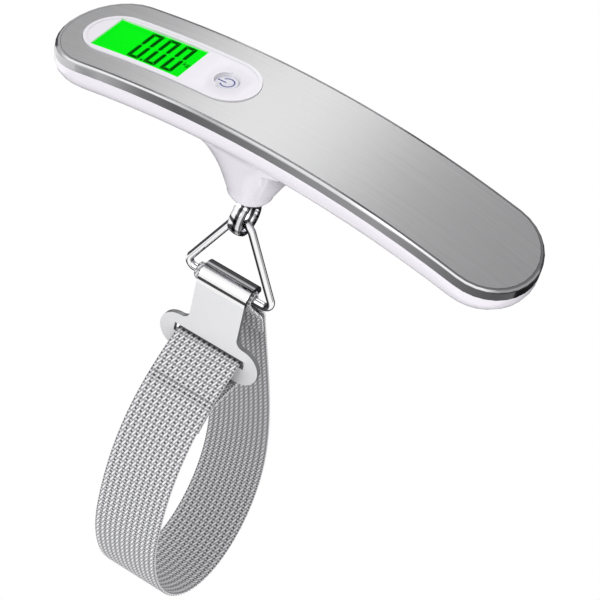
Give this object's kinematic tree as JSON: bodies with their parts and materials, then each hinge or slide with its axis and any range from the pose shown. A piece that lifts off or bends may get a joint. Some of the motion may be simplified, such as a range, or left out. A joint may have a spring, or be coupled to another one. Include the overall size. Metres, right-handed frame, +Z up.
{
  "type": "luggage scale",
  "caption": "Handheld digital luggage scale with an arched white and brushed metal grip, green display, power button, chrome ring and a grey webbing loop with a hook plate.",
  "frame": {"origin": "on the line of the load, at the top face of the grip", "axes": "+Z up along the line of the load, +X along the grip towards the battery end, -Y towards the front of the strap loop"},
  "size_m": [0.15, 0.0646, 0.1944],
  "materials": {
    "white_shell": "gloss",
    "white_matte": "satin",
    "chrome_trim": "polished",
    "brushed_plate": "brushed",
    "clear_window": "gloss",
    "lcd_green": "gloss",
    "diffuser": "matte",
    "black_rubber": "matte",
    "board_green": "satin",
    "black_parts": "matte",
    "switch_grey": "satin",
    "button_cap": "translucent satin",
    "screw_steel": "zinc plated",
    "cell_alloy": "milled",
    "gauge_foil": "satin",
    "cell_steel": "polished",
    "contact_metal": "plated",
    "chrome_wire": "polished",
    "webbing": "woven",
    "hook_steel": "satin"
  },
  "bodies": {
    "grip": {"lower_housing": "white_shell", "trim_band": "chrome_trim", "top_plate": "brushed_plate", "display_bezel": "white_shell", "display_window": "clear_window", "lcd_glass": "lcd_green", "backlight": "diffuser", "contact_strips": "black_rubber", "circuit_board": "board_green", "board_parts": "black_parts", "power_switch": "switch_grey", "board_screws": "screw_steel", "load_cell": "cell_alloy", "strain_gauges": "gauge_foil", "cell_screws": "screw_steel", "hanger_bolt": "screw_steel", "hanger_nut": "screw_steel", "hanger_rivet": "screw_steel", "hanger_eye": "chrome_wire", "battery_tray": "white_matte", "coin_cell": "cell_steel", "contact_plus": "contact_metal", "contact_minus": "contact_metal"},
    "power_button": {"power_button": "button_cap"},
    "battery_cap": {"battery_cap": "white_matte"},
    "ring": {"d_ring": "chrome_wire"},
    "strap": {"strap_webbing": "webbing"},
    "hook": {"hook_plate": "hook_steel"}
  },
  "joints": [
    {"name": "power_press", "type": "slide", "parent": "grip", "child": "power_button", "axis": [0.1359, 0, -0.9907], "range_m": [0, 0.0005], "stiffness_N_per_m": 400, "springref_m": -0.002},
    {"name": "cap_turn", "type": "hinge", "parent": "grip", "child": "battery_cap", "pos_m": [0.05478, 0, -0.01456], "axis": [0.152, 0, 0.9884], "range_deg": [0, 60]},
    {"name": "ring_swing", "type": "hinge", "parent": "grip", "child": "ring", "pos_m": [0, 0, -0.041], "axis": [1, 0, 0], "range_deg": [-75, 75]},
    {"name": "strap_swing", "type": "hinge", "parent": "ring", "child": "strap", "pos_m": [0, 0, -0.06787], "axis": [1, 0, 0], "range_deg": [-60, 60]},
    {"name": "hook_lift", "type": "slide", "parent": "strap", "child": "hook", "axis": [0, 0, 1], "range_m": [0, 0.005], "deforming": ["strap_webbing"]}
  ]
}
